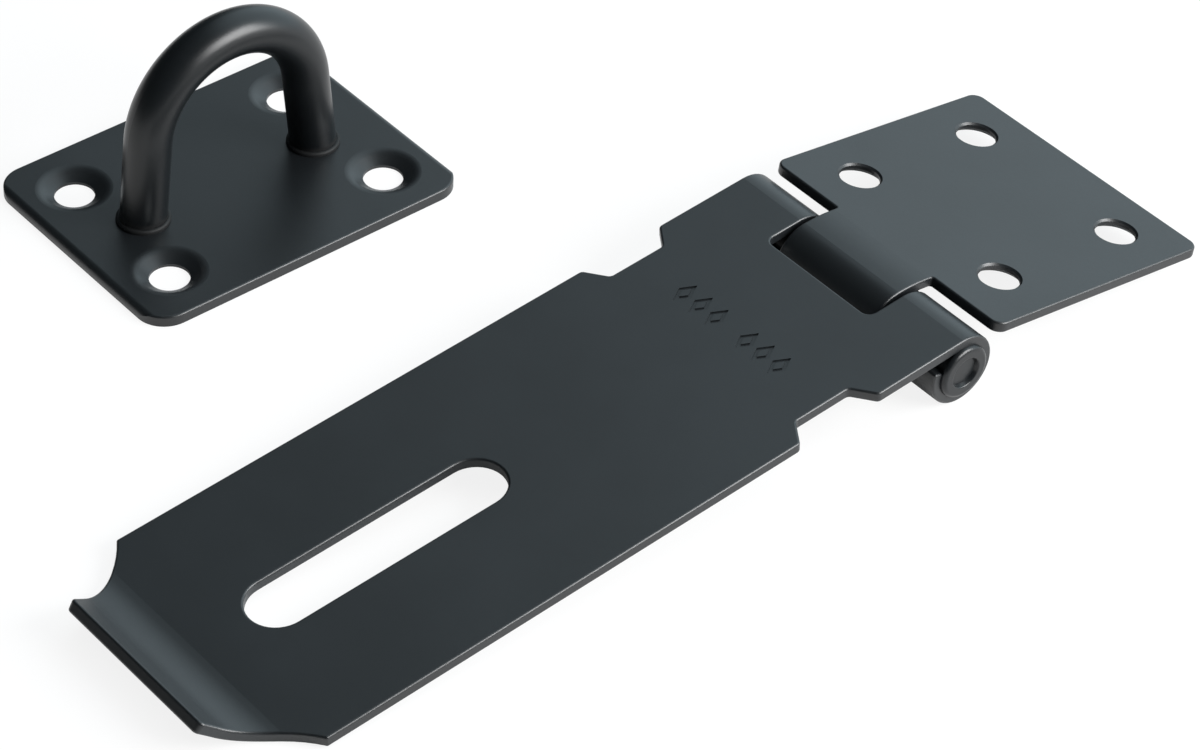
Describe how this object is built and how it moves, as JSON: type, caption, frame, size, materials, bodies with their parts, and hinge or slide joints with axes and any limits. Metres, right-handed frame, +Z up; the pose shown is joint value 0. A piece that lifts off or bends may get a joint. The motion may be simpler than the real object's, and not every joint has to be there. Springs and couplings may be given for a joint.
{
  "type": "hasp",
  "caption": "Hasp with a long slotted strap hinged to a screw-down leaf, a raised finger lip at the strap's tip, and a separate loop staple on its own plate.",
  "frame": {"origin": "centre of the bounding box, on the surface that the hasp lies on", "axes": "+X level, along the strap from its lip to the leaf; +Y along the pin, towards the staple; +Z up"},
  "size_m": [0.149, 0.1058, 0.0271],
  "materials": {
    "coated_sheet": "satin black powder coat on steel sheet",
    "coated_bar": "satin black powder coat on steel bar"
  },
  "bodies": {
    "leaf": {"fixed_leaf": "coated_sheet", "staple_plate": "coated_sheet", "staple_loop": "coated_bar"},
    "strap": {"slotted_strap": "coated_sheet", "hinge_pin": "coated_bar"}
  },
  "joints": [
    {"name": "strap_hinge", "type": "hinge", "parent": "leaf", "child": "strap", "pos_m": [0.03313, -0.03215, 0.0048], "axis": [0, -1, 0], "range_deg": [-98, 167]}
  ]
}
